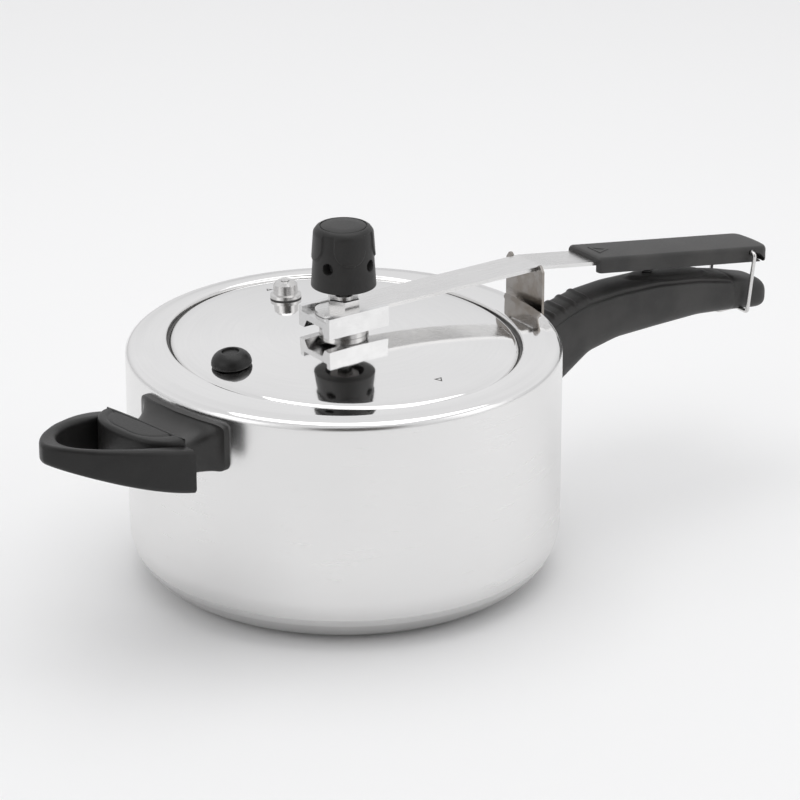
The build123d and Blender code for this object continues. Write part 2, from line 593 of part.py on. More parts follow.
with BuildPart() as valve_seal:
    with Locations((0, 0, 0.05)):
        Cylinder(8.0, 0.55, align=(Align.CENTER, Align.CENTER, Align.MIN))
        Cylinder(STUD_RADIUS, 9, mode=Mode.SUBTRACT)

# Rubber safety plug, pressed into its hole and flanged on both sides
with BuildPart() as safety_plug:
    with BuildSketch(Plane.XZ):
        with BuildLine():
            Polyline((0, -5.5), (8.5, -5.0), (9, -3.4), (7, -2.9), (7, 0.5), (10.2, 0.5), (10.2, 2.0))
            Spline((10.2, 2.0), (8.2, 6.2), (4.6, 7.6), tangents=[(0, 1), (-1, 0)])
            Polyline((4.6, 7.6), (4.4, 6.6), (0, 6.6), (0, -5.5))
        make_face()
    revolve(axis=Axis.Z)

helper_turn = Location((0, 0, 0), (0, 0, HELPER_AZIMUTH))
valve_place = dome_place(VALVE_X, VALVE_Y)
plug_place = dome_place(PLUG_X, 0)
here = Location((0, 0, 0))
PIECES = (
    (pot_body, "pot_body", here),
    (handle_pad, "handle_pad", here),
    (fulcrum_plate, "fulcrum_plate", here),
    (main_handle, "main_handle", here),
    (handle_inserts, "handle_inserts", here),
    (handle_studs, "handle_studs", here),
    (bail_keeper, "bail_keeper", here),
    (keeper_screws, "keeper_screws", here),
    (helper_saddle, "helper_saddle", helper_turn),
    (helper_handle, "helper_handle", helper_turn),
    (helper_screw, "helper_screw", helper_turn),
    (lid_plate, "lid_plate", here),
    (lid_gasket, "lid_gasket", here),
    (boss, "boss_washer", here),
    (bridge, "bridge", here),
    (lever_arm, "lever_arm", here),
    (lid_handle, "lid_handle", here),
    (handle_rivets, "handle_rivets", here),
    (vent_tube, "vent_tube", here),
    (vent_seal, "vent_seal", here),
    (clamp_nut, "clamp_nut", here),
    (weight_cap, "weight_cap", here),
    (weight_core, "weight_core", here),
    (weight_disc, "weight_disc", here),
    (valve_body, "valve_body", valve_place),
    (valve_pin, "valve_pin", valve_place),
    (valve_spring, "valve_spring", valve_place),
    (valve_nut, "valve_nut", valve_place),
    (valve_seal, "valve_seal", valve_place),
    (safety_plug, "safety_plug", plug_place),
    (bail, "bail", here),
)

os.makedirs("parts", exist_ok=True)
for piece, label, place in PIECES:
    solid = piece.part.moved(place)
    solid.label = label
    export_step(solid, "parts/" + label + ".step")
    print(label, round(solid.volume, 1), len(solid.solids()), solid.is_valid)
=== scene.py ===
import math

import bmesh
import bpy
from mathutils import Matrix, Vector


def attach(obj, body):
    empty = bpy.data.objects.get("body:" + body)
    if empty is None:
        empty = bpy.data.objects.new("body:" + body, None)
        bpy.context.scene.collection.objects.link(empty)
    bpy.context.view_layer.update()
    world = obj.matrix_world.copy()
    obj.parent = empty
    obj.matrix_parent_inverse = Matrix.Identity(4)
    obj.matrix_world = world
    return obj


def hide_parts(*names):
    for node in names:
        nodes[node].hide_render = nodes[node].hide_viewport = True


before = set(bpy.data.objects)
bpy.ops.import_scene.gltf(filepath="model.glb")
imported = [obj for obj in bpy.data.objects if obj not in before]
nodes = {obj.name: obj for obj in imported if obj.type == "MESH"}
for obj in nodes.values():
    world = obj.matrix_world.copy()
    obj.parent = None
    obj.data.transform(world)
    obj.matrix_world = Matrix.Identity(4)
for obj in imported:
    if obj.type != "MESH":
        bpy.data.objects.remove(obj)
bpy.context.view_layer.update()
print("frame loaded")


# A socket in a node tree that takes part in plain arithmetic
class Value:
    def __init__(self, maker, socket):
        self.maker = maker
        self.socket = socket

    def math(self, operation, first, second=0.0):
        return self.maker.node("ShaderNodeMath", {"operation": operation}, {0: first, 1: second})

    def __add__(self, other):
        return self.math("ADD", self, other)

    def __radd__(self, other):
        return self.math("ADD", other, self)

    def __sub__(self, other):
        return self.math("SUBTRACT", self, other)

    def __rsub__(self, other):
        return self.math("SUBTRACT", other, self)

    def __mul__(self, other):
        return self.math("MULTIPLY", self, other)

    def __rmul__(self, other):
        return self.math("MULTIPLY", other, self)

    def __pow__(self, other):
        return self.math("POWER", self, other)

    def smooth(self, low, high):
        return self.maker.node(
            "ShaderNodeMapRange", {"interpolation_type": "SMOOTHSTEP"},
            {"Value": self, "From Min": low, "From Max": high})


# A material under construction, with one method per kind of node
class Finish:
    def __init__(self, name):
        self.item = bpy.data.materials.new(name)
        self.item.use_nodes = True
        self.tree = self.item.node_tree
        self.shader = self.tree.nodes["Principled BSDF"]

    def node(self, kind, settings=None, inputs=None, output=0):
        made = self.tree.nodes.new(kind)
        for key, value in (settings or {}).items():
            if key == "stops":
                ramp = made.color_ramp
                while len(ramp.elements) < len(value):
                    ramp.elements.new(0.5)
                for element, (position, colour) in zip(ramp.elements, value):
                    element.position = position
                    element.color = (*colour, 1.0)
            else:
                setattr(made, key, value)
        for key, value in (inputs or {}).items():
            self.feed(made.inputs[key], value)
        return Value(self, made.outputs[output])

    def feed(self, socket, value):
        if isinstance(value, Value):
            self.tree.links.new(value.socket, socket)
        else:
            socket.default_value = value

    def place(self):
        return self.node("ShaderNodeTexCoord", output=3)

    def axes(self):
        split = self.node("ShaderNodeSeparateXYZ", inputs={0: self.place()})
        return [Value(self, split.socket.node.outputs[i]) for i in range(3)]

    def vector(self, x, y, z):
        return self.node("ShaderNodeCombineXYZ", inputs={0: x, 1: y, 2: z})

    def noise(self, vector, scale, detail=3.0, rough=0.5):
        return self.node(
            "ShaderNodeTexNoise", {},
            {"Vector": vector, "Scale": scale, "Detail": detail, "Roughness": rough})

    def mix(self, factor, first, second):
        return self.node(
            "ShaderNodeMix", {"data_type": "RGBA"}, {0: factor, 6: first, 7: second}, 2)

    def bump(self, height, distance, strength=1.0):
        return self.node(
            "ShaderNodeBump", {}, {"Height": height, "Distance": distance, "Strength": strength})

    def done(self, **inputs):
        for key, value in inputs.items():
            self.feed(self.shader.inputs[key], value)
        return self.item


# The same methods, on the world's tree
class Sky(Finish):
    def __init__(self):
        self.item = bpy.data.worlds.new("studio")
        self.item.use_nodes = True
        self.tree = self.item.node_tree
        self.shader = self.tree.nodes["Background"]


def grey(level, warm=0.0):
    return (level * (1 + warm), level, level * (1 - warm), 1.0)


# Fine turning lines around the pot's axis
def spunAluminium(name, rough, level, lineDepth, lineScale, smear=0.0):
    f = Finish(name)
    x, y, z = f.axes()
    radius = (x * x + y * y) ** 0.5
    turn = y.math("ARCTAN2", y, x)
    lines = f.noise(f.vector(radius * lineScale, turn * 1.5, z * lineScale), 1.0, 4.0, 0.6)
    cloud = f.noise(f.place(), 14.0, 2.0)
    scuff = f.noise(f.vector(radius * lineScale * 0.2, turn * 4.0, z * lineScale * 0.2), 1.0, 2.0)
    blend = (cloud * 0.6 + lines * 0.4).smooth(0.3, 0.75)
    colour = f.mix(blend, grey(level * 0.95, 0.004), grey(level, 0.006))
    roughness = rough + (lines - 0.5) * (0.10 * rough + 0.02) + (scuff - 0.5) * 0.05 + cloud * smear
    normal = f.bump(lines + cloud * 0.6, lineDepth, 0.5)
    return f.done(**{"Base Color": colour, "Metallic": 1.0, "Roughness": roughness, "Normal": normal})


# Long hair lines along one axis, with dull patches where the metal has tarnished
def brushedSteel(name, level, rough, warm=0.01, along=0, tarnish=0.0):
    f = Finish(name)
    parts = list(f.axes())
    stretched = [part * 1500.0 for part in parts]
    stretched[along] = parts[along] * 25.0
    hair = f.noise(f.vector(*stretched), 1.0, 3.0, 0.6)
    cloud = f.noise(f.place(), 45.0, 4.0, 0.6)
    dull = f.noise(f.place(), 160.0, 3.0, 0.7)
    base = f.mix(hair.smooth(0.2, 0.8), grey(level * 0.96, warm), grey(level, warm))
    patches = (cloud * 0.7 + dull * 0.3).smooth(0.42, 0.62) * tarnish
    colour = f.mix(patches, base, grey(level * 0.62, warm * 3))
    roughness = rough + (hair - 0.5) * 0.08 + cloud * 0.05
    normal = f.bump(hair, 0.000006, 0.3)
    return f.done(**{"Base Color": colour, "Metallic": 1.0, "Roughness": roughness, "Normal": normal})


# Moulded plastic or rubber with a fine grain and pale specks
def phenolic(name, level, rough, grain, grainDepth, sheen=0.0):
    f = Finish(name)
    speck = f.noise(f.place(), grain, 3.0, 0.65)
    cloud = f.noise(f.place(), 38.0, 3.0, 0.55)
    dust = f.noise(f.place(), grain * 2.6, 1.0)
    shade = f.mix(cloud.smooth(0.35, 0.7), grey(level * 0.8, 0.02), grey(level * 1.25, 0.03))
    colour = f.mix(dust.smooth(0.66, 0.8) * 0.5, shade, grey(level * 2.6, 0.03))
    roughness = rough + (speck - 0.5) * 0.22 + (cloud - 0.5) * 0.12
    return f.done(**{
        "Base Color": colour, "Roughness": roughness, "Specular IOR Level": 0.35 + sheen,
        "Normal": f.bump(speck + cloud * 0.5, grainDepth, 0.7)})


mirrorAluminium = spunAluminium("mirrorAluminium", 0.055, 0.89, 0.000003, 700.0, 0.015)
satinSide = spunAluminium("satinSide", 0.24, 0.84, 0.000003, 2600.0, 0.04)
satinBase = spunAluminium("satinBase", 0.34, 0.66, 0.00003, 1300.0, 0.08)
mattInside = spunAluminium("mattInside", 0.42, 0.74, 0.00003, 900.0, 0.08)
extruded = brushedSteel("extrudedAluminium", 0.82, 0.22, 0.0, 0, 0.15)
armSteel = brushedSteel("armSteel", 0.78, 0.24, 0.006, 0, 0.10)
# The fulcrum plate's low level, brownish warmth and heavy dull patches are partly tarnish and partly a
# painted reflection of the dark brown handle beside it
plateSteel = brushedSteel("plateSteel", 0.34, 0.20, 0.05, 2, 0.75)
turnedSteel = brushedSteel("turnedSteel", 0.70, 0.20, 0.01, 2, 0.2)
wireSteel = brushedSteel("wireSteel", 0.72, 0.22, 0.01, 2, 0.15)
castBrass = brushedSteel("castBrass", 0.55, 0.34, 0.35, 2, 0.3)
castWeight = brushedSteel("castWeight", 0.16, 0.42, 0.03, 2, 0.4)
handleBlack = phenolic("handleBlack", 0.040, 0.47, 1100.0, 0.00011)
helperBlack = phenolic("helperBlack", 0.014, 0.42, 900.0, 0.00008)
saddleBlack = phenolic("saddleBlack", 0.026, 0.34, 700.0, 0.00004, 0.08)
capBlack = phenolic("capBlack", 0.021, 0.42, 1100.0, 0.00008)
rubberBlack = phenolic("rubberBlack", 0.012, 0.38, 800.0, 0.00004)
sealGrey = phenolic("sealGrey", 0.10, 0.6, 500.0, 0.00006)
markDark = phenolic("markDark", 0.10, 0.5, 500.0, 0.00001)
print("finishes made")


def mm(point):
    return Vector(point) * 0.001


def linkItem(name, data):
    item = bpy.data.objects.new(name, data)
    bpy.context.collection.objects.link(item)
    return item


# A solid from points in millimetres, with its faces turned outward
def blockMesh(name, verts, faces, mergeWithin=0.0):
    mesh = bpy.data.meshes.new(name)
    mesh.from_pydata([mm(v) for v in verts], [], faces)
    cleaned = bmesh.new()
    cleaned.from_mesh(mesh)
    if mergeWithin:
        bmesh.ops.remove_doubles(cleaned, verts=cleaned.verts, dist=mergeWithin)
    bmesh.ops.recalc_face_normals(cleaned, faces=cleaned.faces)
    cleaned.to_mesh(mesh)
    cleaned.free()
    return linkItem(name, mesh)


def settle(piece, body, replaced=()):
    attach(piece, body)
    if replaced:
        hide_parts(*replaced)


# Without a body, the piece is settled by its caller
def addPiece(name, verts, faces, materials, body=None, replaced=(), pick=None, angle=50):
    piece = blockMesh(name, verts, faces, mergeWithin=1e-6)
    mesh = piece.data
    for material in materials:
        mesh.materials.append(material)
    for polygon in mesh.polygons:
        polygon.use_smooth = True
        if pick:
            polygon.material_index = pick(polygon.center * 1000)
    mesh.set_sharp_from_angle(angle=math.radians(angle))
    if body:
        settle(piece, body, replaced)
    return piece


# A skin over rings of equal count, capped at both ends unless the start stays open
def joinRings(rings, closeStart=True):
    count = len(rings[0])
    verts = [point for ring in rings for point in ring]
    faces = []
    for a in range(len(rings) - 1):
        b = a + 1
        for i in range(count):
            j = (i + 1) % count
            faces.append((a * count + i, a * count + j, b * count + j, b * count + i))
    if closeStart:
        faces.append(tuple(range(count)))
    faces.append(tuple((len(rings) - 1) * count + i for i in range(count)))
    return verts, faces


def addMesh(first, second):
    verts, faces = first
    extra, extraFaces = second
    shift = len(verts)
    return verts + extra, faces + [tuple(i + shift for i in face) for face in extraFaces]


def ovalRing(halfX, halfY, z, count=256):
    turns = [2 * math.pi * i / count for i in range(count)]
    return [(halfX * math.cos(t), halfY * math.sin(t), z) for t in turns]


def arc(x, z, radius, start, end, steps):
    angles = [math.radians(start + (end - start) * i / steps) for i in range(steps + 1)]
    return [(x + radius * math.cos(a), z + radius * math.sin(a)) for a in angles]


# Rounds a cosine or sine into a squarer outline
def spread(value, power):
    return math.copysign(abs(value) ** power, value)


def easeBetween(value, low, high):
    t = min(1.0, max(0.0, (value - low) / (high - low)))
    return t * t * (3 - 2 * t)


# Values between stations along x
def mixAlong(stations, x):
    for (x0, *first), (x1, *second) in zip(stations, stations[1:]):
        if x <= x1:
            t = min(1.0, max(0.0, (x - x0) / (x1 - x0)))
            return [a + (b - a) * t for a, b in zip(first, second)]
    return list(stations[-1][1:])


# The same, averaged over a short reach so that no station shows as a kink
def smoothAlong(stations, x, reach=3.0):
    samples = [mixAlong(stations, x + reach * (i - 4) / 4) for i in range(9)]
    return [sum(column) / 9 for column in zip(*samples)]


def triangle(centre, size, turn):
    angles = [turn + i * 2 * math.pi / 3 for i in range(3)]
    return [(centre[0] + size * math.cos(a), centre[1] + size * math.sin(a)) for a in angles]


pot = {
    "radius": 110.0, "wall": 2.6, "base": 84.0, "floor": 4.0, "rim": 120.6, "lip": 121.8, "lipUnder": 119.4,
    "mouth": (86.7, 95.3),
}


def buildPot():
    radius = pot["radius"]
    corner = radius - pot["base"]
    mouthX, mouthY = pot["mouth"]
    inner = radius - pot["wall"]
    under = pot["lipUnder"]
    outside = [(2.0, 0.0), (40.0, 0.0), (70.0, 0.0), (79.0, 0.0)]
    outside += arc(pot["base"], corner, corner, -90, 0, 28)
    outside += [(radius, z) for z in (40, 60, 80, 100, 110, 115)]
    outside += arc(radius - 4, pot["rim"] - 4, 4, 0, 88, 12)
    outside += [(104.6, 120.82), (103.0, 121.2), (101.4, 121.5), (99.8, 121.66)]
    rings = [ovalRing(r, r, z) for r, z in outside]
    mouthEdge = [(2.6, pot["lip"] - 0.05), (1.6, pot["lip"]), (0.9, pot["lip"]), (0.45, pot["lip"] - 0.08)]
    mouthEdge += [(0.12, pot["lip"] - 0.35), (0.0, pot["lip"] - 0.8), (0.0, under)]
    rings += [ovalRing(mouthX + e, mouthY + e, z) for e, z in mouthEdge]
    inside = [(100.0, under), (102.0, under - 0.2), (104.6, under - 1.2), (106.4, 116.0), (inner, 112.5)]
    inside += [(inner, 80.0), (inner, 28.0), (106.4, 20.0), (103.0, 12.5), (97.0, 7.4), (90.0, 4.8)]
    inside += [(83.0, pot["floor"]), (60.0, pot["floor"]), (2.0, pot["floor"])]
    rings += [ovalRing(r, r, z) for r, z in inside]

    # Satin side, mirror shoulder, satin base and matt inside
    def pick(centre):
        r = math.hypot(centre.x, centre.y)
        if centre.z > 118.9 and r > 84:
            return 1
        if r < 108.2 and centre.z > 3.5 and (r < 96 or centre.z > 10 + (108 - r)):
            return 3
        if centre.z < 15.0:
            return 2
        return 0

    verts, faces = joinRings(rings)
    return addPiece(
        "potShell", verts, faces, [satinSide, mirrorAluminium, satinBase, mattInside],
        "pot", ["pot_body"], pick, 40)


buildPot()
print("pot built")


lid = {
    "crown": (85.2, 93.8), "top": 126.0, "dome": 900.0, "skin": 2.4, "flange": 5.9, "under": 113.8,
    "seat": 116.0,
}


def lidHeight(x, y):
    wide = x * lid["crown"][1] / lid["crown"][0]
    return lid["top"] - (wide * wide + y * y) / (2 * lid["dome"])


def buildLid():
    reach = lid["crown"][1]
    squash = lid["crown"][0] / reach
    edge = lidHeight(0, reach)
    outside = [(0.5, lid["top"])]
    outside += [(reach * i / 24, lidHeight(0, reach * i / 24)) for i in range(1, 23)]
    outside += [(reach - 3.0, edge + 0.28), (reach - 2.2, edge + 0.02), (reach - 1.4, edge - 0.45)]
    outside += [(reach - 0.7, edge - 1.15), (reach - 0.2, edge - 2.0), (reach, edge - 3.0)]
    flange = reach + lid["flange"]
    outside += [(reach, lid["seat"]), (flange - 0.3, lid["seat"]), (flange, lid["seat"] - 0.4)]
    outside += [(flange, lid["under"] + 0.3), (flange - 0.4, lid["under"])]
    inner = reach - lid["skin"]
    outside += [(inner + 0.3, lid["under"]), (inner, lid["under"] + 0.4)]
    outside += [(inner, edge - 4.6), (inner - 2, edge - 2.2)]
    outside += [(inner * i / 10, lidHeight(0, inner * i / 10) - lid["skin"] - 0.05) for i in range(9, 0, -1)]
    verts, faces = joinRings([ovalRing(r * squash, r, z) for r, z in outside])

    # Mirror on the crown and its edge, matt below
    def pick(centre):
        onCrown = centre.z > lidHeight(centre.x, centre.y) - 1.2
        onEdge = math.hypot(centre.x / squash, centre.y) > reach - 0.6
        return 0 if centre.z > edge - 3.4 and (onCrown or onEdge) else 1

    return addPiece(
        "lidDome", verts, faces, [mirrorAluminium, mattInside],
        "lid", ["lid_plate"], pick, 40)


buildLid()


# A thin raised outline of a few corners, from its outer and inner points
def addOutline(name, outer, inner, height, material, thickness, offset, body):
    count = len(outer)
    verts = [(x, y, height(x, y)) for x, y in outer + inner]
    faces = [(i, (i + 1) % count, count + (i + 1) % count, count + i) for i in range(count)]
    piece = addPiece(name, verts, faces, [material])
    thick = piece.modifiers.new("thick", "SOLIDIFY")
    thick.thickness = thickness / 1000
    thick.offset = offset
    settle(piece, body)


def addLidMark(name, centre, size, turn):
    outer, inner = triangle(centre, size, turn), triangle(centre, size * 0.52, turn)
    addOutline(
        name, outer, inner, lambda x, y: lidHeight(x, y) + 0.04, markDark, 0.12, -1,
        "lid")


addLidMark("lidMark", (6.0, -74.0), 2.6, math.pi * 1.5)
addLidMark("lidMarkBack", (6.0, 78.0), 2.2, math.pi / 2)
print("lid built")


cap = {
    "bottom": 151.0, "shields": 4, "shieldTurn": math.radians(70), "shieldHalf": 8.4, "shieldCentre": 23.0,
    "shieldRise": 0.75, "holeHeight": 12.7, "holeRadius": 2.7, "holeDepth": 4.4, "girth": 15.0, "bore": 10.4,
    "low": 16.9, "taper": 1.9, "around": 300,
}


# How far the cap's wall stands out or in: raised shields, and a round hole between each two
def capSwell(angle, height):
    step = 2 * math.pi / cap["shields"]
    around = ((angle - cap["shieldTurn"]) / step + 0.5) % 1.0 - 0.5
    across = abs(around) * step * cap["girth"]
    below = max(0.0, cap["shieldCentre"] - height)
    swell = cap["shieldRise"] * easeBetween(cap["shieldHalf"] - math.hypot(across, below), -0.35, 0.35) - 0.5
    toHole = math.hypot((0.5 - abs(around)) * step * cap["girth"], height - cap["holeHeight"])
    solid = easeBetween(toHole, cap["holeRadius"] - 0.3, cap["holeRadius"] + 0.1)
    return swell - cap["holeDepth"] * (1 - solid)


def buildCap():
    low, bore, count = cap["low"], cap["bore"], cap["around"]
    profile = [(bore, 0.0), (low - 1.5, 0.0), (low - 0.5, 0.25), (low, 0.8)]
    profile += [(low - cap["taper"] * i / 54, 0.8 + 27.0 * i / 54) for i in range(1, 55)]
    profile += [(14.8, 28.7), (14.4, 29.7), (13.8, 30.5), (12.9, 31.1), (12.2, 31.35), (11.9, 31.35)]
    profile += [(11.75, 30.9), (11.45, 30.85), (11.3, 31.3), (10.9, 31.5), (6.0, 31.6), (1.0, 31.6)]
    rings = []
    for radius, height in profile:
        ring = []
        for i in range(count):
            angle = 2 * math.pi * i / count
            r = radius
            if radius > 14.5 and 0.5 < height < 29.6:
                r += capSwell(angle, height)
            ring.append((r * math.cos(angle), r * math.sin(angle), cap["bottom"] + height))
        rings.append(ring)
    inside = [(bore, 0.0), (bore - 0.1, 1.0), (bore - 0.1, 26.0), (4.0, 26.0)]
    innerRings = [ovalRing(r, r, cap["bottom"] + z, count) for r, z in inside]
    verts, faces = addMesh(joinRings(rings, closeStart=False), joinRings(innerRings, closeStart=False))
    return addPiece(
        "regulatorCap", verts, faces, [capBlack], "weight", ["weight_cap", "weight_disc"],
        angle=38)


buildCap()
print("regulator built")


plug = {"x": -67.0, "around": 96}


def buildPlug():
    lean = plug["x"] * (lid["crown"][1] / lid["crown"][0]) ** 2 / lid["dome"]
    profile = [(0.6, -5.5), (6.0, -5.4), (8.3, -5.1), (8.9, -4.4), (8.9, -3.4), (7.0, -3.0), (7.0, 0.2)]
    profile += [(9.4, 0.35), (10.0, 0.7), (10.2, 1.3), (10.15, 2.0), (9.95, 3.0), (9.5, 4.1), (8.7, 5.3)]
    profile += [(7.6, 6.3), (6.2, 7.1), (5.2, 7.45), (4.7, 7.5), (4.4, 7.35), (4.3, 6.9), (4.2, 6.55)]
    profile += [(3.8, 6.5), (2.0, 6.6), (0.5, 6.65)]
    rings = []
    for r, z in profile:
        ring = []
        for x, y, h in ovalRing(r, r, z, plug["around"]):
            ring.append((
                plug["x"] + x * math.cos(lean) + h * math.sin(lean), y,
                lidHeight(plug["x"], 0) - x * math.sin(lean) + h * math.cos(lean)))
        rings.append(ring)
    verts, faces = joinRings(rings)
    return addPiece("safetyPlugRubber", verts, faces, [rubberBlack], "lid", ["safety_plug"])


buildPlug()


mainHandle = {
    "start": 114.2, "end": 269.0, "sides": 96,
    "stations": [
        (114.2, 84.0, 33.6, 45.6), (118, 85.2, 31.6, 44.2), (123, 87.0, 29.6, 41.8),
        (135, 92.2, 26.0, 38.8), (149, 98.5, 25.0, 32.6), (168, 101.2, 25.5, 29.7),
        (195, 101.2, 26.0, 28.2), (222, 99.4, 26.5, 23.4), (245, 95.6, 27.0, 20.0),
        (260, 92.4, 26.4, 17.6), (269, 90.9, 25.0, 16.4)],
    "ribs": (126.0, 132.5, 139.5, 147.0), "ribTall": 0.9, "padRise": 0.85,
    "pad": (207.0, 27.0, 8.4), "bail": (250.0, 86.4), "seam": 244.6, "tipStart": 259.5,
}


# A rounded bar through the stations, with creases, ribs, a thumb pad and the bail's groove
def buildMainHandle():
    spot = mainHandle
    tip = spot["tipStart"]
    xs = []
    x = spot["start"]
    while x < spot["end"] - 0.2:
        xs.append(x)
        fine = abs(x - spot["bail"][0]) < 3 or x > 263 or x < 154
        x += 0.5 if fine else 1.2
    xs += [spot["end"] - 0.15, spot["end"]]
    rings = []
    for x in xs:
        middle, width, tall = smoothAlong(spot["stations"], x)
        fromEnd = max(0.0, (x - tip) / (spot["end"] - tip))
        shrink = (1 - fromEnd ** 3.2 * 0.97) ** (1 / 2.6)
        fromRoot = max(0.0, 1 - (x - spot["start"]) / 1.6)
        width = width * (1 - 0.06 * fromRoot ** 2) * (0.28 + 0.72 * shrink if x > tip else 1)
        tall = tall * (1 - 0.04 * fromRoot ** 2) * (0.25 + 0.75 * shrink if x > tip else 1)
        ring = []
        for i in range(spot["sides"]):
            a = 2 * math.pi * i / spot["sides"]
            c, s = math.cos(a), math.sin(a)
            y = width / 2 * spread(c, 0.62)
            z = middle + tall / 2 * spread(s, 0.66)
            along = easeBetween(x, 118, 124) * (1 - easeBetween(x, 236, 246))
            degreesUp = math.degrees(math.asin(max(-1.0, min(1.0, s))))
            cut = math.exp(-((degreesUp - 41.0) / 4.2) ** 2) * along
            y -= math.copysign(0.9 * cut, c)
            z -= 0.5 * cut
            if s > 0.3:
                for rib in spot["ribs"]:
                    ridge = rib + abs(y) * 0.10
                    lift = math.exp(-((x - ridge) / 0.95) ** 4) * (1 - easeBetween(abs(y), 8.6, 10.0))
                    z += spot["ribTall"] * lift
                px, reach, side = spot["pad"]
                far = math.hypot((x - px) / reach, y / side)
                z += spot["padRise"] * (1 - easeBetween(far, 0.90, 1.0))
                z -= 0.35 * math.exp(-((far - 1.06) / 0.045) ** 2)
            step = math.exp(-((x - spot["seam"]) / 0.8) ** 4)
            y -= math.copysign(0.55 * step, c) * (1 if abs(c) > 0.2 else 0)
            z -= math.copysign(0.45 * step, s) * (1 if s > 0.2 else 0)
            bx, bz = spot["bail"]
            if s < 0 and abs(x - bx) < 1.5:
                z = max(z, bz + 1.45)
            if s < 0 and abs(x - bx) < 9.9 and abs(y) < 4.9:
                z = max(z, bz - 1.4)
            ring.append((x, y, z))
        rings.append(ring)
    verts, faces = joinRings(rings)
    return addPiece("mainGrip", verts, faces, [handleBlack], "pot", ["main_handle"], angle=44)


buildMainHandle()


gripMark = {"x": 194.5, "top": 116.45, "fall": 0.05, "outer": (4.0, 2.3), "inner": (2.5, 1.45)}


def diamond(along, across):
    x = gripMark["x"]
    return [(x - along, 0), (x, across), (x + along, 0), (x, -across)]


addOutline(
    "gripMark", diamond(*gripMark["outer"]), diamond(*gripMark["inner"]),
    lambda x, y: gripMark["top"] - (x - gripMark["x"]) * gripMark["fall"], handleBlack, 0.6, 0,
    "pot")
print("main handle built")


helper = {
    "azimuth": math.radians(189.5), "root": 132.0, "tip": 196.3, "half": 36.0, "outerCurve": 1.54,
    "holeTip": 183.2, "holeHalf": 25.8, "holeCurve": 2.1, "corner": 2.9,
    "padDepth": 19.0, "padHalf": 28.5, "padTop": 114.9, "padEdge": 2.6, "layers": 26, "steps": 110,
    "rise": 60.0,
}


# From the helper's own frame, where x runs outward, to the pot's
def turnHelper(point):
    c, s = math.cos(helper["azimuth"]), math.sin(helper["azimuth"])
    x, y, z = point
    return (x * c - y * s, x * s + y * c, z)


def helperTop(x):
    t = (x - helper["root"]) / helper["rise"]
    return 110.7 + 14.8 * t - 4.7 * t * t


def helperUnder(x):
    t = (x - helper["root"]) / helper["rise"]
    return 88.2 + 14.5 * t + 8.2 * t * t


# A point on half of a squared oval, from one side of the root round the tip to the other
def bowPoint(tip, half, curve, angle):
    x = helper["root"] + (tip - helper["root"]) * spread(math.cos(angle), 2 / curve)
    return x, half * spread(math.sin(angle), 2 / curve)


def barSection(half, tall, corner):
    points = []
    for cx, cz, start in ((1, 1, 0), (-1, 1, 90), (-1, -1, 180), (1, -1, 270)):
        for i in range(8):
            a = math.radians(start + 90 * i / 7)
            across = cx * (half - corner) + corner * math.cos(a)
            points.append((across, cz * (tall - corner) + corner * math.sin(a)))
    return points


def buildHelperLoop():
    spot = helper
    rings = []
    for i in range(spot["steps"] + 1):
        angle = -math.pi / 2 + math.pi * i / spot["steps"]
        outer = bowPoint(spot["tip"], spot["half"], spot["outerCurve"], angle)
        inner = bowPoint(spot["holeTip"], spot["holeHalf"], spot["holeCurve"], angle)
        dx, dy = outer[0] - inner[0], outer[1] - inner[1]
        thick = math.hypot(dx, dy)
        midX, midY = (outer[0] + inner[0]) / 2, (outer[1] + inner[1]) / 2
        tall = (helperTop(midX) - helperUnder(midX)) / 2
        corner = min(spot["corner"], tall - 0.4, thick / 2 - 0.4)
        ring = []
        for across, up in barSection(thick / 2, tall, corner):
            x = midX + dx / thick * across
            y = midY + dy / thick * across
            ring.append(turnHelper((x, y, (helperTop(x) + helperUnder(x)) / 2 + up)))
        rings.append(ring)
    return joinRings(rings)


# The thumb pad's plan: a straight root for the first part, then one bowed side
def padOutline(count=180, straight=0.36):
    spot = helper
    outline = []
    for i in range(count):
        t = i / count
        if t < straight:
            outline.append((spot["root"], spot["padHalf"] * (2 * t / straight - 1)))
            continue
        angle = math.pi * (t - straight) / (1 - straight)
        y = spot["padHalf"] * math.cos(angle)
        reach = (spot["padDepth"] + 0.05 * y) * (1 - abs(y / spot["padHalf"]) ** 2.5) ** 0.53
        outline.append((spot["root"] + reach, y))
    return outline


def padTopAt(x, y):
    return helper["padTop"] + 0.05 * (x - helper["root"]) + 0.5 * (1 - (y / helper["padHalf"]) ** 2)


# A wall with a rounded upper edge, then a top with a shallow groove inside its edge
def buildHelperPad():
    root, half, layers = helper["root"], helper["padHalf"], helper["layers"]
    middle = root + 8.0
    rings = []
    for j in range(layers + 1):
        ring = []
        for x, y in padOutline():
            atRoot = x <= root + 0.5
            top = padTopAt(x, y)
            low = helperUnder(x) + 0.8
            z = top - (top - low) * (1 - j / layers) ** 1.6
            soft = 0.7 if atRoot else helper["padEdge"]
            inset = 0.0
            if z > top - soft:
                inset = soft - math.sqrt(max(0.0, soft ** 2 - (z - top + soft) ** 2))
            size = math.hypot(x - middle, y)
            if atRoot:
                ring.append((x + inset, y * (1 - inset / half), z))
            else:
                ring.append((x - (x - middle) / size * inset, y - y / size * inset, z))
        rings.append(ring)
    last = rings[layers]
    for t in (0.92, 0.86, 0.82, 0.78, 0.74, 0.68, 0.5, 0.3, 0.1):
        groove = 0.45 * math.exp(-((t - 0.80) / 0.035) ** 2)
        spots = [(middle + (x - middle) * t, y * t) for x, y, z in last]
        rings.append([(x, y, padTopAt(x, y) - groove) for x, y in spots])
    return joinRings([[turnHelper(p) for p in ring] for ring in rings])


def buildHelper():
    verts, faces = addMesh(buildHelperLoop(), buildHelperPad())
    return addPiece(
        "helperGrip", verts, faces, [helperBlack], "pot", ["helper_handle"], angle=46)


buildHelper()


